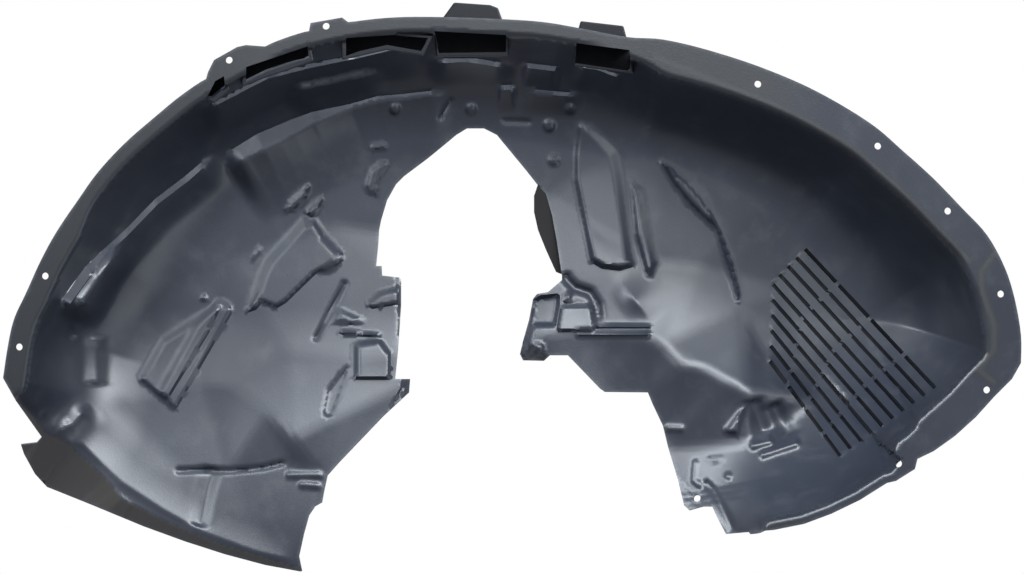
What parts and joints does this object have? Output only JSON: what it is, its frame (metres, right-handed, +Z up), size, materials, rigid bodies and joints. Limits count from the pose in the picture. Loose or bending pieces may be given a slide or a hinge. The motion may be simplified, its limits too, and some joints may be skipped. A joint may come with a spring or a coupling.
{
  "type": "wheel arch liner",
  "caption": "Front wheel arch liner moulded in one piece from dark grey plastic, with a holed rim flange, pressed ridges and pods, a strut cut-out and a slotted vent.",
  "frame": {"origin": "centre of the locating hole in the rim flange, on the flange's outer face", "axes": "+X along the car towards its front, +Y from the rim in under the car, +Z up"},
  "size_m": [1.0467, 0.2268, 0.6069],
  "materials": {
    "moulding": "satin, fine grain"
  },
  "bodies": {
    "root": {"liner": "moulding"}
  },
  "joints": []
}
